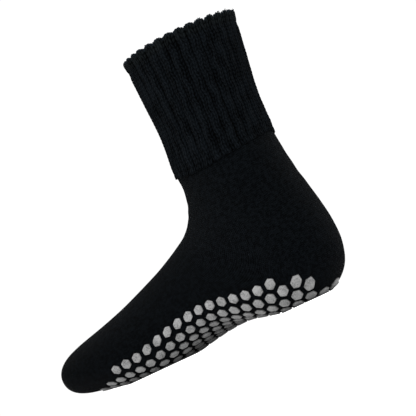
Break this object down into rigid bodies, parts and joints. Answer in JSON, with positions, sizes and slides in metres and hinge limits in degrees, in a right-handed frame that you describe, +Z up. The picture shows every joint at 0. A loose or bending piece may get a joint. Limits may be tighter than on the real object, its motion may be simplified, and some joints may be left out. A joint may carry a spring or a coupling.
{
  "type": "slipper sock",
  "caption": "Knitted slipper sock for the right foot, standing as worn, with a flared ribbed cuff and raised six-sided silicone grips under the sole",
  "frame": {"origin": "on the floor under the middle of the sock's box", "axes": "+X from heel to toe, +Y to the inner side of the right foot, +Z up the leg"},
  "size_m": [0.252, 0.0976, 0.2094],
  "materials": {
    "knit": "black plain jersey knit, matt, fine vertical stitches",
    "rib_knit": "black wide rib knit, matt, with a brushed edge at the rim",
    "grip_silicone": "mid grey cured silicone with fine dark specks, satin"
  },
  "bodies": {
    "root": {"knit_foot": "knit", "rib_cuff": "rib_knit"}
  },
  "joints": []
}
